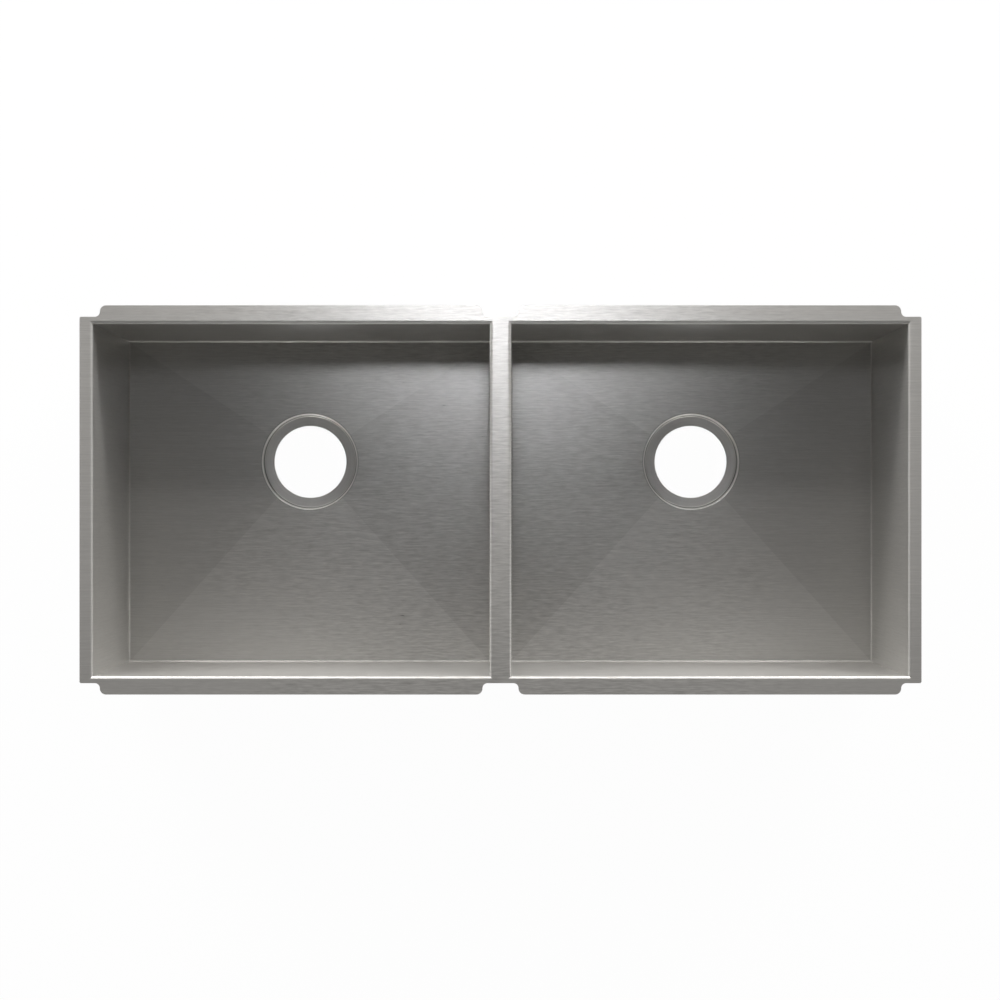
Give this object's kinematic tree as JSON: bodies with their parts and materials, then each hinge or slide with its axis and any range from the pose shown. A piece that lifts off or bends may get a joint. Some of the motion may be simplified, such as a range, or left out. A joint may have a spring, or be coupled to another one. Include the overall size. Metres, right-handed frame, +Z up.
{
  "type": "double bowl kitchen sink",
  "caption": "Undermount kitchen sink with equal side-by-side bowls folded and welded from brushed stainless sheet, drawn drain cups set to the back, a flat tabbed rim and sound pads underneath.",
  "frame": {"origin": "centre of the rim's top face, on the divider, midway along and across the sink", "axes": "+X towards the right bowl as a person at the sink sees it, +Y to the back, where the drains are nearer, +Z up out of the bowls"},
  "size_m": [0.9718, 0.4492, 0.2661],
  "materials": {
    "bowl_steel": "satin, brushed left to right",
    "cup_steel": "satin, fine turned rings",
    "plate_steel": "dull, as rolled",
    "undercoat": "matte sprayed coat with a fine pebbled grain",
    "pad_rubber": "matte black rubber"
  },
  "bodies": {
    "root": {"left_bowl_wrap": "bowl_steel", "right_bowl_wrap": "bowl_steel", "left_end_panel": "bowl_steel", "right_end_panel": "bowl_steel", "divider_saddle": "bowl_steel", "left_drain_cup": "cup_steel", "right_drain_cup": "cup_steel", "front_tie_plate": "plate_steel", "back_tie_plate": "plate_steel", "left_undercoat": "undercoat", "right_undercoat": "undercoat", "left_front_pad": "pad_rubber", "left_back_pad": "pad_rubber", "left_end_pad": "pad_rubber", "left_divider_pad": "pad_rubber", "left_floor_pad": "pad_rubber", "right_front_pad": "pad_rubber", "right_back_pad": "pad_rubber", "right_end_pad": "pad_rubber", "right_divider_pad": "pad_rubber", "right_floor_pad": "pad_rubber"}
  },
  "joints": []
}
